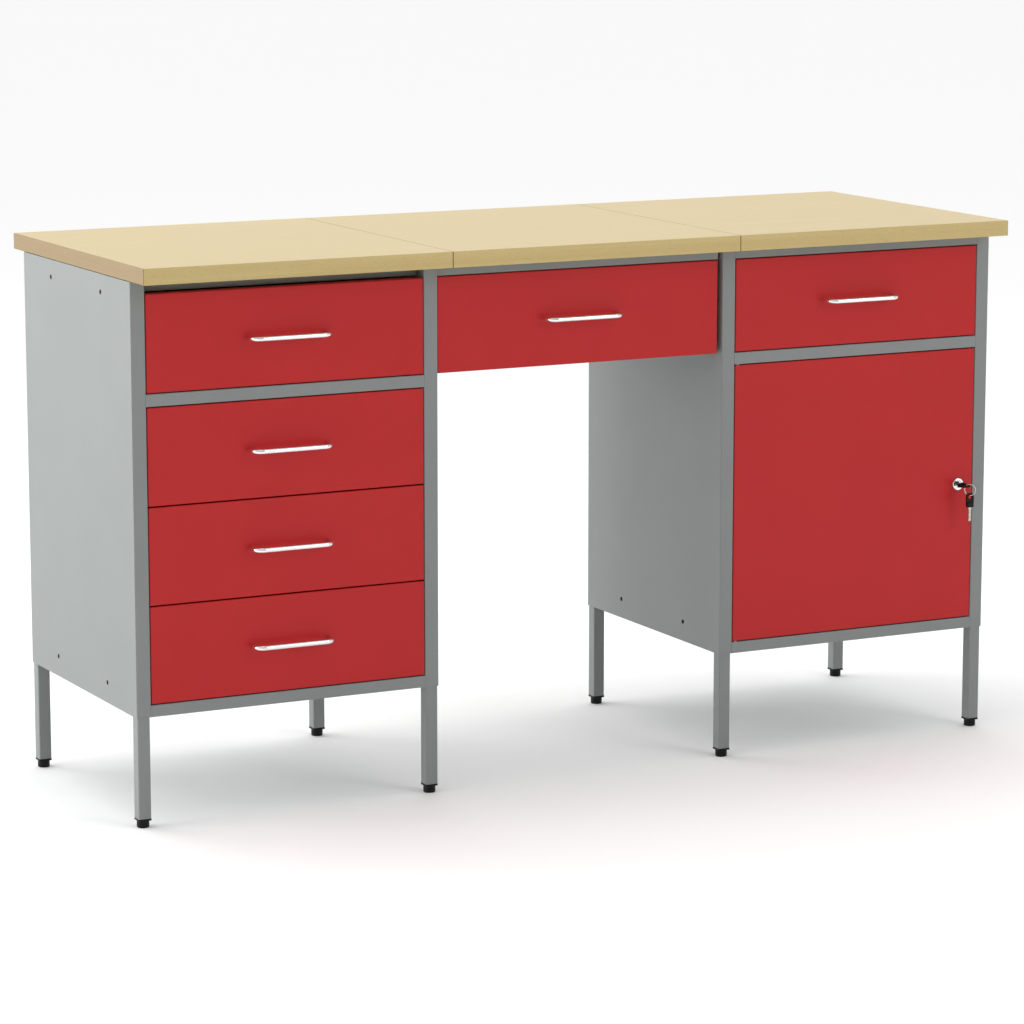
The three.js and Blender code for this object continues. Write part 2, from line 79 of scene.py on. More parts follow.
DRAWERS = ("left_drawer_top", "left_drawer_upper", "left_drawer_lower", "left_drawer_bottom",
           "knee_drawer", "right_drawer")
CORNERS = ("front_left", "front_right", "back_left", "back_right")
SIDES = ("left", "right")

X = Vector((1, 0, 0))
Y = Vector((0, 1, 0))
Z = Vector((0, 0, 1))


# ---------------------------------------------------------------- modelling tools

def only(obj):
    """Makes obj the one selected and active object."""
    bpy.ops.object.select_all(action="DESELECT")
    obj.select_set(True)
    bpy.context.view_layer.objects.active = obj


def settle(name):
    """Names the object just added and moves its place into its mesh."""
    obj = bpy.context.active_object
    obj.name = name
    obj.data.name = name
    bpy.ops.object.transform_apply(location=True, rotation=True, scale=True)
    return obj


def block(name, low, high):
    """A box between two corners."""
    low, high = Vector(low), Vector(high)
    bpy.ops.object.select_all(action="DESELECT")
    bpy.ops.mesh.primitive_cube_add(size=1, location=(low + high) / 2, scale=high - low)
    return settle(name)


def rod(name, start, end, radius, sides=48):
    """A cylinder from one point to another."""
    start, end = Vector(start), Vector(end)
    turn = (end - start).to_track_quat("Z", "Y").to_euler()
    bpy.ops.object.select_all(action="DESELECT")
    bpy.ops.mesh.primitive_cylinder_add(vertices=sides, radius=radius, depth=(end - start).length,
                                        location=(start + end) / 2, rotation=turn)
    return settle(name)


def pick(obj, kind, test):
    """Goes into edit mode with the faces, edges or corners selected that the test takes."""
    only(obj)
    bpy.ops.object.mode_set(mode="EDIT")
    bpy.ops.mesh.select_mode(type=kind)
    bpy.ops.mesh.select_all(action="DESELECT")
    work = bmesh.from_edit_mesh(obj.data)
    work.normal_update()
    parts = {"FACE": work.faces, "EDGE": work.edges, "VERT": work.verts}[kind]
    for part in [part for part in parts if test(part)]:
        part.select_set(True)
    work.select_flush_mode()
    bmesh.update_edit_mesh(obj.data)


def done():
    bpy.ops.object.mode_set(mode="OBJECT")


def facing(*directions):
    """A test for the faces that look in one of these directions."""
    return lambda face: any(face.normal.dot(direction) > 0.99 for direction in directions)


def sharp(edge):
    """A test for the edges between two faces that meet at a corner."""
    return len(edge.link_faces) == 2 and edge.calc_face_angle(0) > math.radians(25)


def middle(edge):
    return (edge.verts[0].co + edge.verts[1].co) / 2


def along(edge, direction):
    return abs((edge.verts[1].co - edge.verts[0].co).normalized().dot(direction)) > 0.99


def open_up(obj, *directions):
    """Takes away the faces that look in these directions."""
    pick(obj, "FACE", facing(*directions))
    bpy.ops.mesh.delete(type="FACE")
    done()


def round_edges(obj, test, radius, segments=3):
    pick(obj, "EDGE", test)
    bpy.ops.mesh.bevel(offset=radius, segments=segments, affect="EDGES", clamp_overlap=True)
    done()


def modify(obj, kind, **settings):
    """Adds a modifier with its settings and applies it."""
    only(obj)
    modifier = obj.modifiers.new(kind.lower(), kind)
    for key, value in settings.items():
        setattr(modifier, key, value)
    bpy.ops.object.modifier_apply(modifier=modifier.name)
    return obj


def thicken(obj, wall=SHEET):
    """Gives a sheet its wall, on the inside."""
    return modify(obj, "SOLIDIFY", thickness=wall, offset=-1, use_even_offset=True)


def cut(obj, *tools):
    """Cuts each tool's shape out of obj."""
    for tool in tools:
        modify(obj, "BOOLEAN", object=tool, operation="DIFFERENCE", solver="EXACT")
        bpy.data.objects.remove(tool)
    return obj


def join(obj, *others):
    """Joins other pieces to obj as one mesh."""
    only(obj)
    for other in others:
        other.select_set(True)
    bpy.ops.object.join()
    return obj


def folded(name, low, high, *open_sides, wall=SHEET, fold=FOLD):
    """A box of folded sheet with some of its sides open."""
    obj = block(name, low, high)
    open_up(obj, *open_sides)
    round_edges(obj, sharp, fold)
    return thicken(obj, wall)


def copied(obj, name, offset):
    """A copy with a mesh of its own, moved by an offset."""
    copy = obj.copy()
    copy.data = obj.data.copy()
    copy.name = name
    copy.data.name = name
    copy.data.transform(Matrix.Translation(offset))
    bpy.context.scene.collection.objects.link(copy)
    return copy


def turned(obj, pivot, axis, angle):
    """Turns a piece's mesh round an axis through a point."""
    pivot = Vector(pivot)
    rotation = Matrix.Rotation(angle, 4, axis)
    obj.data.transform(Matrix.Translation(pivot) @ rotation @ Matrix.Translation(-pivot))
    return obj


# ---------------------------------------------------------------- materials

def linear(code):
    """A colour from its sRGB hex code."""
    channels = [int(code[i:i + 2], 16) / 255 for i in (1, 3, 5)]
    return [c / 12.92 if c <= 0.04045 else ((c + 0.055) / 1.055) ** 2.4 for c in channels] + [1.0]


def node(tree, kind, settings=None, **inputs):
    """Adds a node, sets its own settings, and fills or links its inputs."""
    made = tree.nodes.new(kind)
    for key, value in (settings or {}).items():
        setattr(made, key, value)
    for key, value in inputs.items():
        socket = made.inputs[int(key[1:])] if key[1:].isdigit() else made.inputs[key.replace("_", " ")]
        if isinstance(value, bpy.types.NodeSocket):
            tree.links.new(value, socket)
        else:
            socket.default_value = value
    return made


def new_material(name, **values):
    """A material with a principled shader; the values are set on the shader's own sockets."""
    material = bpy.data.materials.new(name)
    material.use_nodes = True
    shader = material.node_tree.nodes["Principled BSDF"]
    for key, value in values.items():
        shader.inputs[key.replace("_", " ")].default_value = value
    return material, material.node_tree, shader


def ramp(tree, fac, *stops):
    """A colour ramp through (place, colour) stops."""
    made = node(tree, "ShaderNodeValToRGB", i0=fac)
    elements = made.color_ramp.elements
    while len(elements) < len(stops):
        elements.new(0.5)
    for element, (place, colour) in zip(elements, stops):
        element.position = place
        element.color = linear(colour) if isinstance(colour, str) else (colour, colour, colour, 1)
    return made.outputs["Color"]


def powder_coat(name, dark, light, roughness):
    """Polyester powder coat, baked on steel: even colour, satin, with the fine ripple of orange peel."""
    material, tree, shader = new_material(name, IOR=1.5, Metallic=0.0, Specular_IOR_Level=0.3)
    place = node(tree, "ShaderNodeTexCoord").outputs["Object"]
    # Slow drift of tone over a hand's width, as the coat's thickness varies.
    drift = node(tree, "ShaderNodeTexNoise", i0=place, Scale=1 / (120 * MM), Detail=2.0)
    colour = ramp(tree, drift.outputs["Fac"], (0.35, dark), (0.65, light))
    tree.links.new(colour, shader.inputs["Base Color"])
    # Ripples about 2.5 mm apart, coarser than the real 1 mm ones so that they show.
    peel = node(tree, "ShaderNodeTexNoise", i0=place, Scale=1 / (2.5 * MM), Detail=1.0)
    bump = node(tree, "ShaderNodeBump", Strength=0.06, Distance=0.05 * MM, Height=peel.outputs["Fac"])
    tree.links.new(bump.outputs["Normal"], shader.inputs["Normal"])
    sheen = node(tree, "ShaderNodeMapRange", Value=peel.outputs["Fac"], To_Min=roughness - 0.04,
                 To_Max=roughness + 0.04)
    tree.links.new(sheen.outputs["Result"], shader.inputs["Roughness"])
    return material


def laminated_beech(name):
    """Beech-faced board under clear lacquer: pale, with long faint grain and tiny flecks along X."""
    material, tree, shader = new_material(name, IOR=1.5, Metallic=0.0)
    place = node(tree, "ShaderNodeTexCoord").outputs["Object"]
    # Growth lines run along the board: 12 mm wide and about 0.6 m long.
    stretch = node(tree, "ShaderNodeMapping", i0=place, Scale=(0.02, 1.0, 1.0))
    wander = node(tree, "ShaderNodeTexNoise", i0=stretch.outputs[0], Scale=1 / (12 * MM), Detail=4.0,
                  Roughness=0.6, Distortion=0.4)
    grain = ramp(tree, wander.outputs["Fac"], (0.3, "#bba369"), (0.5, "#bfa96f"), (0.7, "#c3ae76"))
    # Pores: short dark flecks 0.8 mm wide and 8 mm long.
    pores_place = node(tree, "ShaderNodeMapping", i0=place, Scale=(0.1, 1.0, 1.0))
    pores = node(tree, "ShaderNodeTexNoise", i0=pores_place.outputs[0], Scale=1 / (0.8 * MM), Detail=1.0)
    flecks = ramp(tree, pores.outputs["Fac"], (0.60, 0.0), (0.72, 0.25))
    mixed = node(tree, "ShaderNodeMix", {"data_type": "RGBA", "blend_type": "MULTIPLY"},
                 i0=flecks, i6=grain, i7=linear("#b8935a"))
    tree.links.new(mixed.outputs[2], shader.inputs["Base Color"])
    bump = node(tree, "ShaderNodeBump", Strength=0.15, Distance=0.05 * MM, Height=wander.outputs["Fac"])
    tree.links.new(bump.outputs["Normal"], shader.inputs["Normal"])
    lacquer = node(tree, "ShaderNodeMapRange", Value=wander.outputs["Fac"], To_Min=0.38, To_Max=0.5)
    tree.links.new(lacquer.outputs["Result"], shader.inputs["Roughness"])
    return material


def edge_band_with_painted_shade(name):
    """Beech edge band under lacquer, across the ends, its grain along Y. Its tone is set darker than the
    boards as painted shade, so the ends and seam chamfers that the left lamp lights stay dim.
    """
    material, tree, shader = new_material(name, IOR=1.5, Metallic=0.0, Roughness=0.5)
    place = node(tree, "ShaderNodeTexCoord").outputs["Object"]
    # Growth lines 4 mm apart, drawn out along the end.
    stretch = node(tree, "ShaderNodeMapping", i0=place, Scale=(1.0, 0.03, 1.0))
    lines = node(tree, "ShaderNodeTexNoise", i0=stretch.outputs[0], Scale=1 / (4 * MM), Detail=3.0)
    # The grain is the band's own; the tones are set below the boards' as painted shade on the lit ends and
    # seams.
    colour = ramp(tree, lines.outputs["Fac"], (0.3, "#81693a"), (0.7, "#8a7142"))
    tree.links.new(colour, shader.inputs["Base Color"])
    bump = node(tree, "ShaderNodeBump", Strength=0.15, Distance=0.05 * MM, Height=lines.outputs["Fac"])
    tree.links.new(bump.outputs["Normal"], shader.inputs["Normal"])
    return material


def plated(name, colour, roughness, scratch):
    """Plated metal: mirror-like, with hair-fine polishing marks that vary its gloss."""
    material, tree, shader = new_material(name, Metallic=1.0, Base_Color=linear(colour))
    place = node(tree, "ShaderNodeTexCoord").outputs["Object"]
    # Polishing marks 0.3 mm wide, drawn out along X.
    stretch = node(tree, "ShaderNodeMapping", i0=place, Scale=(0.05, 1.0, 1.0))
    marks = node(tree, "ShaderNodeTexNoise", i0=stretch.outputs[0], Scale=1 / (0.3 * MM), Detail=2.0)
    gloss = node(tree, "ShaderNodeMapRange", Value=marks.outputs["Fac"], To_Min=roughness,
                 To_Max=roughness + scratch)
    tree.links.new(gloss.outputs["Result"], shader.inputs["Roughness"])
    return material


def moulded_plastic(name, colour, roughness):
    """Injection-moulded polyamide: black, with the fine matt grain of an etched mould."""
    material, tree, shader = new_material(name, IOR=1.53, Base_Color=linear(colour), Roughness=roughness,
                                          Specular_IOR_Level=0.2)
    place = node(tree, "ShaderNodeTexCoord").outputs["Object"]
    grit = node(tree, "ShaderNodeTexNoise", i0=place, Scale=1 / (0.7 * MM), Detail=2.0)
    bump = node(tree, "ShaderNodeBump", Strength=0.25, Distance=0.05 * MM, Height=grit.outputs["Fac"])
    tree.links.new(bump.outputs["Normal"], shader.inputs["Normal"])
    return material


GREY_PAINT = powder_coat("grey powder coat", "#808483", "#828685", 0.44)
RED_PAINT = powder_coat("red powder coat", "#b2181a", "#b41a1b", 0.40)
BEECH = laminated_beech("lacquered beech board")
EDGE_BAND_PAINTED_SHADE = edge_band_with_painted_shade("beech edge band with painted shade")
CHROME = plated("chrome-plated steel", "#f0f0f2", 0.05, 0.08)
NICKEL = plated("nickel-plated brass", "#c9c3b8", 0.18, 0.12)
ZINC = plated("zinc-plated steel", "#b9bcc0", 0.28, 0.12)
GLIDE_PLASTIC = moulded_plastic("black moulded polyamide", "#070808", 0.5)
KEY_PLASTIC = moulded_plastic("black moulded ABS", "#060607", 0.36)


def finish_piece(obj, body, slot, material, *replaced):
    """Shades a piece, gives it its material, and ties it to the frame."""
    only(obj)
    obj.data.materials.clear()
    obj.data.materials.append(material)
    bpy.ops.object.shade_smooth_by_angle(angle=math.radians(35))
    modify(obj, "WEIGHTED_NORMAL", keep_sharp=True)
    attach(obj, body)
    if replaced:
        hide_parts(*replaced)
    return obj


# ---------------------------------------------------------------- camera, floor and light

def add_camera():
    """A long lens from the front left, a little above the bench and tilted down to it."""
    azimuth, elevation, distance = math.radians(-27.0), math.radians(9.82), 6.392
    heading, pitch = math.radians(26.909), math.radians(10.15)
    focal_in_widths = 3.870
    centre = (cad_box[0] + cad_box[1]) / 2
    back = Vector((math.sin(azimuth) * math.cos(elevation), -math.cos(azimuth) * math.cos(elevation),
                   math.sin(elevation)))
    data = bpy.data.cameras.new("camera")
    data.lens = focal_in_widths * data.sensor_width
    data.clip_end = 200
    camera = bpy.data.objects.new("camera", data)
    camera.location = centre + back * distance
    camera.rotation_euler = (math.pi / 2 - pitch, 0, -heading)
    bpy.context.scene.collection.objects.link(camera)
    bpy.context.scene.camera = camera


def add_area_light(name, place, target, size, power):
    data = bpy.data.lights.new(name, "AREA")
    data.shape = "SQUARE"
    data.size = size
    data.energy = power
    light = bpy.data.objects.new(name, data)
    light.location = place
    light.rotation_euler = (Vector(target) - Vector(place)).to_track_quat("-Z", "Y").to_euler()
    bpy.context.scene.collection.objects.link(light)


def add_stage():
    bpy.ops.object.select_all(action="DESELECT")
    bpy.ops.mesh.primitive_plane_add(size=200, location=(0, 0, 0))
    floor = settle("floor")
    material, _, shader = new_material("pale studio floor", Roughness=0.9, Base_Color=linear("#ffffff"))
    shader.inputs["Specular IOR Level"].default_value = 0.1
    floor.data.materials.append(material)
    add_world()
    target = (0, 0, 0.45)
    add_area_light("left softbox", (-5.2, 0.4, 1.6), target, 2.4, 85)
    add_area_light("back left softbox", (-3.6, 3.8, 1.4), target, 2.4, 65)
    add_area_light("front right softbox", (2.7, -4.9, 3.0), target, 2.0, 52)
    add_area_light("overhead softbox", (-0.6, 0.6, 4.4), target, 3.0, 32)
    bpy.context.scene.view_settings.view_transform = "Standard"


def add_world():
    """White walls all round, in softer light at the front than at the back."""
    world = bpy.data.worlds.new("studio")
    world.use_nodes = True
    tree = world.node_tree
    direction = node(tree, "ShaderNodeSeparateXYZ", i0=node(tree, "ShaderNodeTexCoord").outputs["Generated"])
    level = node(tree, "ShaderNodeMapRange", Value=direction.outputs["Y"], From_Min=-1.0, From_Max=1.0,
                 To_Min=0.42, To_Max=1.45)
    tree.links.new(level.outputs["Result"], tree.nodes["Background"].inputs["Strength"])
    tree.nodes["Background"].inputs["Color"].default_value = linear("#ffffff")
    bpy.context.scene.world = world


add_camera()
add_stage()


# ---------------------------------------------------------------- worktop

def add_worktop():
    """Three boards side by side, with a hairline seam between them; the seam's dark line is painted shade on
    its chamfers.
    """
    lowest, highest = cad_box[0].x, cad_box[1].x
    for place in ("left", "middle", "right"):
        name = f"worktop_{place}"
        low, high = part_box(name)
        board = block(f"{name}_board", low, high)
        seams = [x for x in (low.x, high.x) if min(abs(x - lowest), abs(x - highest)) > MM]
        on_seam = lambda edge: any(abs(middle(edge).x - x) < TINY for x in seams)
        round_edges(board, lambda edge: sharp(edge) and not on_seam(edge), BOARD_ROUND, 4)
        round_edges(board, lambda edge: sharp(edge) and on_seam(edge), SEAM_ROUND, 2)
        finish_piece(board, "bench", "beech_boards", BEECH, name)
        # The ends and the chamfers along each seam take the edge band, whose darker tone is painted shade.
        board.data.materials.append(EDGE_BAND_PAINTED_SHADE)
        for face in board.data.polygons:
            face.material_index = 1 if abs(face.normal.x) > 0.2 else 0


# ---------------------------------------------------------------- cabinets

def stile_width(side):
    """Width of a cabinet's stile, from its rail."""
    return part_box(f"{side}_mid_rail")[0].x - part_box(f"{side}_shell")[0].x


def add_shell(side):
    """Side, back and side folded from one sheet, each front edge folded in as a stile with a lip."""
    name = f"{side}_shell"
    low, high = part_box(name)
    stile = stile_width(side)
    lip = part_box(f"{side}_leg_front_left")[1].y - low.y
    shell = block(f"{side}_cabinet_shell", low, high)
    open_up(shell, Z, -Z)
    inner = (low.x + stile, high.x - stile)
    for x in inner:
        pick(shell, "FACE", facing(-Y))
        bpy.ops.mesh.bisect(plane_co=(x, low.y, 0), plane_no=(1, 0, 0))
        done()
    pick(shell, "FACE", lambda f: facing(-Y)(f) and inner[0] < f.calc_center_median().x < inner[1])
    bpy.ops.mesh.delete(type="FACE")
    done()
    for x in inner:
        pick(shell, "EDGE", lambda e: along(e, Z) and abs(middle(e).x - x) < TINY and len(e.link_faces) == 1)
        bpy.ops.mesh.extrude_edges_move(TRANSFORM_OT_translate={"value": (0, lip, 0)})
        done()
    round_edges(shell, lambda edge: sharp(edge) and along(edge, Z), FOLD)
    thicken(shell)
    holes = []
    for y in (low.y + SIDE_HOLE_INSET, high.y - SIDE_HOLE_INSET):
        for z in (low.z + SIDE_HOLE_LOW, high.z - SIDE_HOLE_HIGH):
            for x in (low.x, high.x):
                reach = X * 5 * MM
                centre = Vector((x, y, z))
                holes.append(rod("hole", centre - reach, centre + reach, SIDE_HOLE / 2, 32))
    cut(shell, *holes)
    finish_piece(shell, "bench", "grey_paint", GREY_PAINT, name)


def make_rail_pan(side, name):
    """A sheet across the cabinet, notched at the four posts, with a rail folded down between the
    stiles, to which the rail's ends are welded. Over the left drawers the rail lies further back."""
    low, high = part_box(name)
    shell_low, shell_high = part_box(f"{side}_shell")
    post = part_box(f"{side}_leg_front_left")[1].y + 0.3 * MM
    back_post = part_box(f"{side}_leg_back_left")[0].y - 0.3 * MM
    weld = stile_width(side) - 0.3 * MM
    x0, x1 = shell_low.x + weld, shell_high.x - weld
    rail_front = shell_low.y + (LEFT_TOP_RAIL_SETBACK if name == "left_top" else 0)
    seam = max(post, rail_front + RAIL_DEPTH)
    rail = folded(f"{name}_rail", (x0, rail_front, low.z), (x1, seam, high.z), Y, X, -X, -Z)
    sheet = block("sheet", (low.x, seam, high.z - SHEET), (high.x, back_post, high.z))
    tongue = block("tongue", (x0, back_post, high.z - SHEET), (x1, high.y, high.z))
    ears = [block("ear", (a, post, high.z - SHEET), (b, seam, high.z))
            for a, b in ((low.x, x0), (x1, high.x)) if seam > post]
    return join(rail, sheet, tongue, *ears)


def add_cabinet_frame(side):
    """Top and floor pans and the rail between the drawer and what is below it."""
    for name in (f"{side}_top", f"{side}_floor"):
        finish_piece(make_rail_pan(side, name), "bench", "grey_paint", GREY_PAINT, name)
    name = f"{side}_mid_rail"
    low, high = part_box(name)
    x0, x1 = low.x - 0.3 * MM, high.x + 0.3 * MM
    rail = folded(f"{name}_channel", (x0, low.y, low.z), (x1, high.y, high.z), Y, X, -X)
    finish_piece(rail, "bench", "grey_paint", GREY_PAINT, name)


def add_legs():
    """Square tubes, modelled once and copied, each with its glide."""
    first = "left_leg_front_left"
    low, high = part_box(first)
    tube = folded("tube", low, high, Z, -Z, wall=TUBE_WALL, fold=TUBE_ROUND)
    glide = make_glide(*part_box("left_foot_front_left"), low.z)
    for side in SIDES:
        for corner in CORNERS:
            name = f"{side}_leg_{corner}"
            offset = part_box(name)[0] - low
            leg = copied(tube, f"{name}_tube", offset)
            finish_piece(leg, "bench", "grey_paint", GREY_PAINT, name)
            foot = f"{side}_foot_{corner}"
            piece = copied(glide, f"{foot}_glide", offset)
            finish_piece(piece, "bench", "black_plastic", GLIDE_PLASTIC, foot)
    for pattern in (tube, glide):
        bpy.data.objects.remove(pattern)


def make_glide(low, high, tube_end):
    """A push-in glide: round pad with a soft lower edge, a neck, and a square flange under the tube."""
    centre = (low + high) / 2
    pad_radius = 9.5 * MM
    flange = 3.0 * MM
    proud = 0.35 * MM
    top = tube_end - 0.15 * MM
    pad = rod("pad", (centre.x, centre.y, 0), (centre.x, centre.y, top - flange + 0.2 * MM), pad_radius, 40)
    round_edges(pad, lambda e: sharp(e) and middle(e).z < MM, 1.8 * MM, 4)
    cap = block("cap", (low.x - proud, low.y - proud, top - flange), (high.x + proud, high.y + proud, top))
    round_edges(cap, lambda e: sharp(e) and along(e, Z), TUBE_ROUND, 3)
    round_edges(cap, sharp, 0.4 * MM, 2)
    half = (high.x - low.x) / 2 - TUBE_WALL - 0.3 * MM
    plug = block("plug", (centre.x - half, centre.y - half, top - MM),
                 (centre.x + half, centre.y + half, high.z))
    round_edges(plug, sharp, MM, 2)
    return join(pad, cap, plug)


# ---------------------------------------------------------------- drawers

def make_runner(wall, mouth, y0, y1, lip):
    """A channel for a tray's lip, open towards the drawer; wall and mouth are its two X places."""
    below, above = 1.6 * MM + SHEET, 9.4 * MM + SHEET
    open_side = X if mouth > wall else -X
    return folded("runner", (min(wall, mouth), y0, lip - below), (max(wall, mouth), y1, lip + above),
                  open_side, Y, -Y)


def add_runner_panels():
    drawers = {"left": DRAWERS[:4], "right": DRAWERS[5:]}
    for side in SIDES:
        for hand in ("left", "right"):
            name = f"{side}_runner_panel_{hand}"
            low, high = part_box(name)
            wall, mouth = (low.x, high.x) if hand == "left" else (high.x, low.x)
            inner = wall + math.copysign(SHEET, mouth - wall)
            sheet = block(f"{name}_sheet", (min(wall, inner), low.y, low.z),
                          (max(wall, inner), high.y, high.z))
            round_edges(sheet, sharp, 0.3 * MM, 2)
            runners = []
            for drawer in drawers[side]:
                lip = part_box(f"{drawer}_tray")[1].z
                runners.append(make_runner(inner, mouth, low.y, high.y, lip))
            finish_piece(join(sheet, *runners), "bench", "grey_paint", GREY_PAINT, name)


def add_knee_housing():
    """An inverted trough with a rail folded down at its front, side plates and two runners."""
    name = "knee_drawer_housing"
    low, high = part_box(name)
    rail_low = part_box("right_top")[0].z
    front_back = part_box("knee_drawer_front")[1].y + 0.3 * MM
    trough = folded(f"{name}_trough", (low.x, front_back, low.z), (high.x, high.y, high.z), -Z, Y, -Y)
    rail = folded("rail", (low.x, low.y, rail_low), (high.x, front_back, high.z), Y, X, -X, -Z)
    reach = 12 * MM
    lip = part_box("knee_drawer_tray")[1].z
    runners = [make_runner(wall, mouth, front_back, high.y, lip)
               for wall, mouth in ((low.x + SHEET, low.x + reach), (high.x - SHEET, high.x - reach))]
    finish_piece(join(trough, rail, *runners), "bench", "grey_paint", GREY_PAINT, name)


def add_drawer(name):
    """The folded front with the holes for its handle's studs, and the tray behind it."""
    low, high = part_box(f"{name}_front")
    front = folded(f"{name}_panel", low, high, Y)
    bow_low, bow_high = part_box(f"{name}_handle")
    radius = (bow_high.z - bow_low.z) / 2
    level = bow_low.z + radius
    cut(front, *[rod("hole", (x, low.y - MM, level), (x, low.y + 3 * MM, level), PIN_HOLE, 24)
                 for x in (bow_low.x + radius, bow_high.x - radius)])
    finish_piece(front, name, "red_paint", RED_PAINT, f"{name}_front")
    add_tray(name)


def add_tray(name):
    """An open box of folded sheet, its side edges turned out as the lips that ride in the runners."""
    low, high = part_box(f"{name}_tray")
    lip = TRAY_LIP
    tray = block(f"{name}_box", (low.x + lip, low.y, low.z), (high.x - lip, high.y, high.z - SHEET))
    open_up(tray, Z)
    for x, way in ((low.x + lip, -lip), (high.x - lip, lip)):
        pick(tray, "EDGE", lambda e: along(e, Y) and abs(middle(e).x - x) < TINY and len(e.link_faces) == 1)
        bpy.ops.mesh.extrude_edges_move(TRANSFORM_OT_translate={"value": (way, 0, 0)})
        done()
    round_edges(tray, sharp, FOLD)
    thicken(tray)
    finish_piece(tray, name, "grey_paint", GREY_PAINT, f"{name}_tray")


def make_handle():
    """A round bar bent to a bow: a circle drawn out, turned, drawn along and turned back. A threaded
    stud at each end goes through the front and holds a flange nut behind it."""
    low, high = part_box("left_drawer_top_handle")
    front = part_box("left_drawer_top_front")[0].y
    radius = (high.z - low.z) / 2
    bend = 14 * MM
    face = front - 0.3 * MM
    bar = low.y + radius
    left, right, level = low.x + radius, high.x - radius, (low.z + high.z) / 2
    bpy.ops.object.select_all(action="DESELECT")
    bpy.ops.mesh.primitive_circle_add(vertices=32, radius=radius, fill_type="NOTHING",
                                      location=(left, face, level), rotation=(math.pi / 2, 0, 0))
    handle = settle("bow")
    pick(handle, "EDGE", lambda edge: True)
    bpy.ops.mesh.extrude_region_move(TRANSFORM_OT_translate={"value": (0, bar + bend - face, 0)})
    bpy.ops.mesh.spin(steps=12, angle=-math.pi / 2, center=(left + bend, bar + bend, level), axis=(0, 0, 1))
    bpy.ops.mesh.extrude_region_move(TRANSFORM_OT_translate={"value": (right - left - 2 * bend, 0, 0)})
    bpy.ops.mesh.spin(steps=12, angle=-math.pi / 2, center=(right - bend, bar + bend, level), axis=(0, 0, 1))
    bpy.ops.mesh.extrude_region_move(TRANSFORM_OT_translate={"value": (0, face - bar - bend, 0)})
    bpy.ops.mesh.select_all(action="SELECT")
    bpy.ops.mesh.remove_doubles(threshold=TINY)
    done()
    pick(handle, "EDGE", lambda edge: len(edge.link_faces) == 1)
    bpy.ops.mesh.edge_face_add()
    bpy.ops.mesh.select_all(action="SELECT")
    bpy.ops.mesh.normals_make_consistent(inside=False)
    done()
    for x in (left, right):
        stud = rod("stud", (x, face - 2 * MM, level), (x, front + 9.5 * MM, level), 2 * MM, 20)
        round_edges(stud, lambda e: sharp(e) and middle(e).y > front, 0.5 * MM, 2)
        join(handle, stud, *make_nut(x, front + SHEET, level, 3.2 * MM, 4.0 * MM))
    return handle


def make_nut(x, y, z, height, radius):
    """A hexagon nut on its washer, on an axis along Y, its front against a sheet at y."""
    washer = rod("washer", (x, y, z), (x, y + 0.6 * MM, z), radius * 1.25, 32)
    round_edges(washer, sharp, 0.15 * MM, 2)
    nut = rod("nut", (x, y + 0.6 * MM, z), (x, y + 0.6 * MM + height, z), radius, 6)
    round_edges(nut, sharp, 0.35 * MM, 2)
    return washer, nut


def add_handles():
    """The same bow on every drawer, each with its own mesh."""
    bow = make_handle()
    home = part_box("left_drawer_top_handle")[0]
    for name in DRAWERS:
        place = f"{name}_handle"
        handle = copied(bow, f"{name}_bow_handle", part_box(place)[0] - home)
        finish_piece(handle, name, "chrome", CHROME, place)
    bpy.data.objects.remove(bow)


# ---------------------------------------------------------------- door, shelf, lock and keys

def lock_axis():
    """X and Z of the lock's axis, and Y of the door's face."""
    low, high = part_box("lock_plug")
    return (low.x + high.x) / 2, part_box("door")[0].y, (low.z + high.z) / 2


def add_door():
    """A folded pan with holes for the lock and for its two pins."""
    low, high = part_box("door")
    x, face, z = lock_axis()
    door = folded("door_panel", low, high, Y)
    holes = [rod("hole", (x, face - MM, z), (x, face + 3 * MM, z), 8.3 * MM, 48)]
    for pivot, end in (("door_pivot_lower", low.z), ("door_pivot_upper", high.z)):
        centre = (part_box(pivot)[0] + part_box(pivot)[1]) / 2
        reach = 3 * MM
        holes.append(rod("hole", (centre.x, centre.y, end - reach), (centre.x, centre.y, end + reach),
                         PIN_HOLE, 24))
    cut(door, *holes)
    finish_piece(door, "door", "red_paint", RED_PAINT, "door")
    for pivot in ("door_pivot_lower", "door_pivot_upper"):
        add_pivot(pivot)


def add_pivot(name):
    """A shouldered pin, fixed in the rail, that stands into the hole in the door's folded edge."""
    low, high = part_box(name)
    centre = (low + high) / 2
    lower = name.endswith("lower")
    root, tip = (low.z, high.z) if lower else (high.z, low.z)
    way = 1 if lower else -1
    shoulder = root + way * 0.9 * MM
    pin = rod(f"{name}_pin", (centre.x, centre.y, shoulder), (centre.x, centre.y, tip), 2 * MM, 32)
    round_edges(pin, lambda e: sharp(e) and abs(middle(e).z - tip) < TINY, 0.7 * MM, 2)
    collar = rod("collar", (centre.x, centre.y, root), (centre.x, centre.y, shoulder), 3.5 * MM, 32)
    round_edges(collar, sharp, 0.2 * MM, 2)
    finish_piece(join(pin, collar), "bench", "steel", ZINC, name)


def add_shelf():
    low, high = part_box("shelf")
    shelf = folded("shelf_sheet", low, high, -Z, X, -X)
    finish_piece(shelf, "bench", "grey_paint", GREY_PAINT, "shelf")


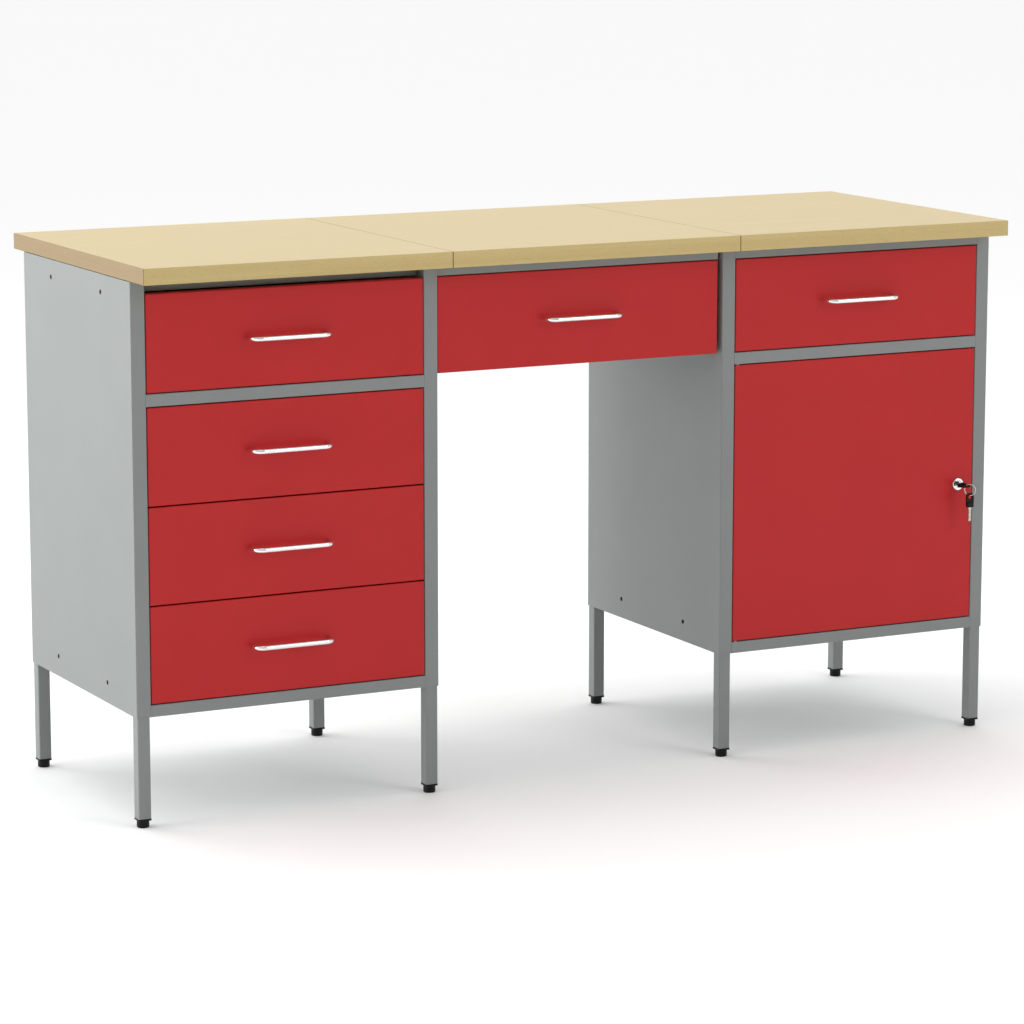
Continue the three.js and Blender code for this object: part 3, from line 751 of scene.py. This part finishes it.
def add_lock():
    x, face, z = lock_axis()
    barrel_low, barrel_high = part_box("lock_barrel")
    plug_low, plug_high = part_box("lock_plug")
    rosette_radius = (barrel_high.x - barrel_low.x) / 2
    plug_radius = (plug_high.x - plug_low.x) / 2
    along_lock = lambda name, y0, y1, radius, sides=64: rod(name, (x, y0, z), (x, y1, z), radius, sides)

    rosette = along_lock("lock_rosette", barrel_low.y, face - 0.1 * MM, rosette_radius)
    round_edges(rosette, lambda e: sharp(e) and middle(e).y < barrel_low.y + TINY, 1.2 * MM, 4)
    thread = along_lock("thread", face - 0.1 * MM, barrel_high.y, 7.8 * MM)
    washer, nut = make_nut(x, face + SHEET, z, 4 * MM, 11.5 * MM)
    for piece, bore in ((rosette, plug_radius + 0.25 * MM), (thread, plug_radius + 0.25 * MM),
                        (washer, 7.8 * MM), (nut, 7.8 * MM)):
        cut(piece, along_lock("bore", barrel_low.y - MM, barrel_high.y + MM, bore))
    finish_piece(join(rosette, thread, washer, nut), "door", "chrome", CHROME, "lock_barrel")

    cam_low, cam_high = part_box("lock_cam")
    plug = along_lock("lock_cylinder", plug_low.y, cam_low.y - 0.1 * MM, plug_radius)
    round_edges(plug, lambda e: sharp(e) and middle(e).y < plug_low.y + TINY, 0.5 * MM, 3)
    half, rise = 2.8 * MM, 1.2 * MM
    cut(plug, block("keyway", (x - half, plug_low.y - MM, z - rise),
                    (x + half, plug_low.y + 17 * MM, z + rise)))
    tail = block("tail", (x - 3 * MM, cam_low.y - 0.2 * MM, z - 3 * MM),
                 (x + 3 * MM, plug_high.y, z + 3 * MM))
    round_edges(tail, sharp, 0.3 * MM, 2)
    finish_piece(join(plug, tail), "lock_turn", "chrome", CHROME, "lock_plug")

    cam = block("lock_tongue", cam_low, cam_high)
    round_edges(cam, lambda e: along(e, Y) and middle(e).z > z, 6.8 * MM, 8)
    round_edges(cam, lambda e: along(e, Y) and middle(e).z < z - 20 * MM, 2.5 * MM, 4)
    square = 3.25 * MM
    cut(cam, block("square", (x - square, cam_low.y - MM, z - square),
                   (x + square, cam_high.y + MM, z + square)))
    finish_piece(cam, "lock_turn", "steel", ZINC, "lock_cam")


def make_key_grip():
    """A moulded grip lying along -Y with its ring hole at the origin: a rounded plate with a raised
    rim round each face, and a thick shoulder round the root of the blade."""
    half, thick, outer, inner = 7 * MM, 1.6 * MM, -6 * MM, 16 * MM
    grip = block("grip", (-half, outer, -thick), (half, inner, thick))
    round_edges(grip, lambda e: along(e, Z) and middle(e).y < 0, 4 * MM, 6)
    round_edges(grip, lambda e: along(e, Z) and middle(e).y > 10 * MM, 2 * MM, 4)
    pick(grip, "FACE", facing(Z, -Z))
    bpy.ops.mesh.inset(thickness=1.3 * MM, depth=0, use_individual=True)
    bpy.ops.mesh.inset(thickness=0.3 * MM, depth=-0.3 * MM, use_individual=True)
    done()
    cut(grip, rod("ring_hole", (0, 0, -2 * thick), (0, 0, 2 * thick), 3.5 * MM, 32))
    round_edges(grip, lambda e: sharp(e) and not along(e, Z) and abs(middle(e).z) > 0.98 * thick,
                0.3 * MM, 2)
    shoulder = block("shoulder", (-6.4 * MM, 9 * MM, -3.6 * MM), (6.4 * MM, 17 * MM, 3.6 * MM))
    round_edges(shoulder, lambda e: along(e, Y) or along(e, Z), 1.8 * MM, 4)
    round_edges(shoulder, sharp, 0.5 * MM, 2)
    return join(grip, shoulder)


def make_key_blade():
    """A flat cut-steel blade with a groove down each face and rounded cuts along both edges."""
    half, rise, root, tip = 2.6 * MM, 0.95 * MM, 15 * MM, 40 * MM
    blade = block("blade", (-half, root, -rise), (half, tip, rise))
    round_edges(blade, lambda e: along(e, Z) and middle(e).y > root + TINY, 1.6 * MM, 4)
    grooves = [block("groove", (-0.7 * MM, root + 3 * MM, level - 0.35 * MM),
                     (0.5 * MM, tip + MM, level + 0.35 * MM))
               for level in (-rise, rise)]
    depths = (0.8, 1.2, 0.7, 1.1, 0.9)
    cuts = []
    for i, depth in enumerate(depths):
        y = tip - (3.6 + 3.4 * i) * MM
        for side in (-1, 1):
            x = side * (half + (1.1 - depth) * MM)
            cuts.append(rod("cut", (x, y, -2 * rise), (x, y, 2 * rise), 1.3 * MM, 12))
    return cut(blade, *grooves, *cuts)


def add_keys():
    """The key in the lock and the spare on the ring: one key, copied, each with its head and blade."""
    x, _, z = lock_axis()
    grip_pattern, blade_pattern = make_key_grip(), make_key_blade()
    key_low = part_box("key")[0]
    spare_low, spare_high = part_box("spare_key")
    spare_hole = Vector(((spare_low.x + spare_high.x) / 2, (spare_low.y + spare_high.y) / 2,
                         spare_high.z - KEY_HOLE_INSET))
    places = (("key", "lock_turn", Vector((x, key_low.y + KEY_HOLE_INSET, z)), 0),
              ("spare_key", "spare_key", spare_hole, -math.pi / 2))
    for name, body, hole, tilt in places:
        grip = copied(grip_pattern, f"{name}_grip", (0, 0, 0))
        steel = copied(blade_pattern, f"{name}_blade", (0, 0, 0))
        for piece in (grip, steel):
            turned(piece, (0, 0, 0), "X", tilt)
            piece.data.transform(Matrix.Translation(hole))
        finish_piece(grip, body, "key_plastic", KEY_PLASTIC, name)
        finish_piece(steel, body, "steel", NICKEL)
    for pattern in (grip_pattern, blade_pattern):
        bpy.data.objects.remove(pattern)


def add_key_ring():
    """A split ring: flat wire wound nearly twice round, standing on edge through the key's hole."""
    low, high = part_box("key_ring")
    radius, wire, turn = 9.25 * MM, 0.7 * MM, math.radians(-53)
    bpy.ops.object.select_all(action="DESELECT")
    bpy.ops.mesh.primitive_circle_add(vertices=14, radius=wire, fill_type="NGON",
                                      location=(radius, 0, -wire / 2),
                                      rotation=(math.pi / 2, 0, 0), scale=(1.3, 0.5, 1))
    ring = settle("split_ring")
    winding = 700   # degrees of wire, nearly two turns
    modify(ring, "SCREW", angle=math.radians(winding), screw_offset=wire * winding / 360, steps=120,
           render_steps=120, use_merge_vertices=True, merge_threshold=TINY)
    pick(ring, "EDGE", lambda edge: len(edge.link_faces) == 1)
    bpy.ops.mesh.edge_face_add()
    bpy.ops.mesh.select_all(action="SELECT")
    bpy.ops.mesh.normals_make_consistent(inside=False)
    done()
    turned(ring, (0, 0, 0), "X", math.pi / 2)
    turned(ring, (0, 0, 0), "Z", turn)
    ring.data.transform(Matrix.Translation((low + high) / 2))
    finish_piece(ring, "key_ring", "steel", NICKEL, "key_ring")


add_worktop()
for side in SIDES:
    add_shell(side)
    add_cabinet_frame(side)
add_legs()
add_runner_panels()
add_knee_housing()
for name in DRAWERS:
    add_drawer(name)
add_handles()
add_door()
add_shelf()
add_lock()
add_keys()
add_key_ring()
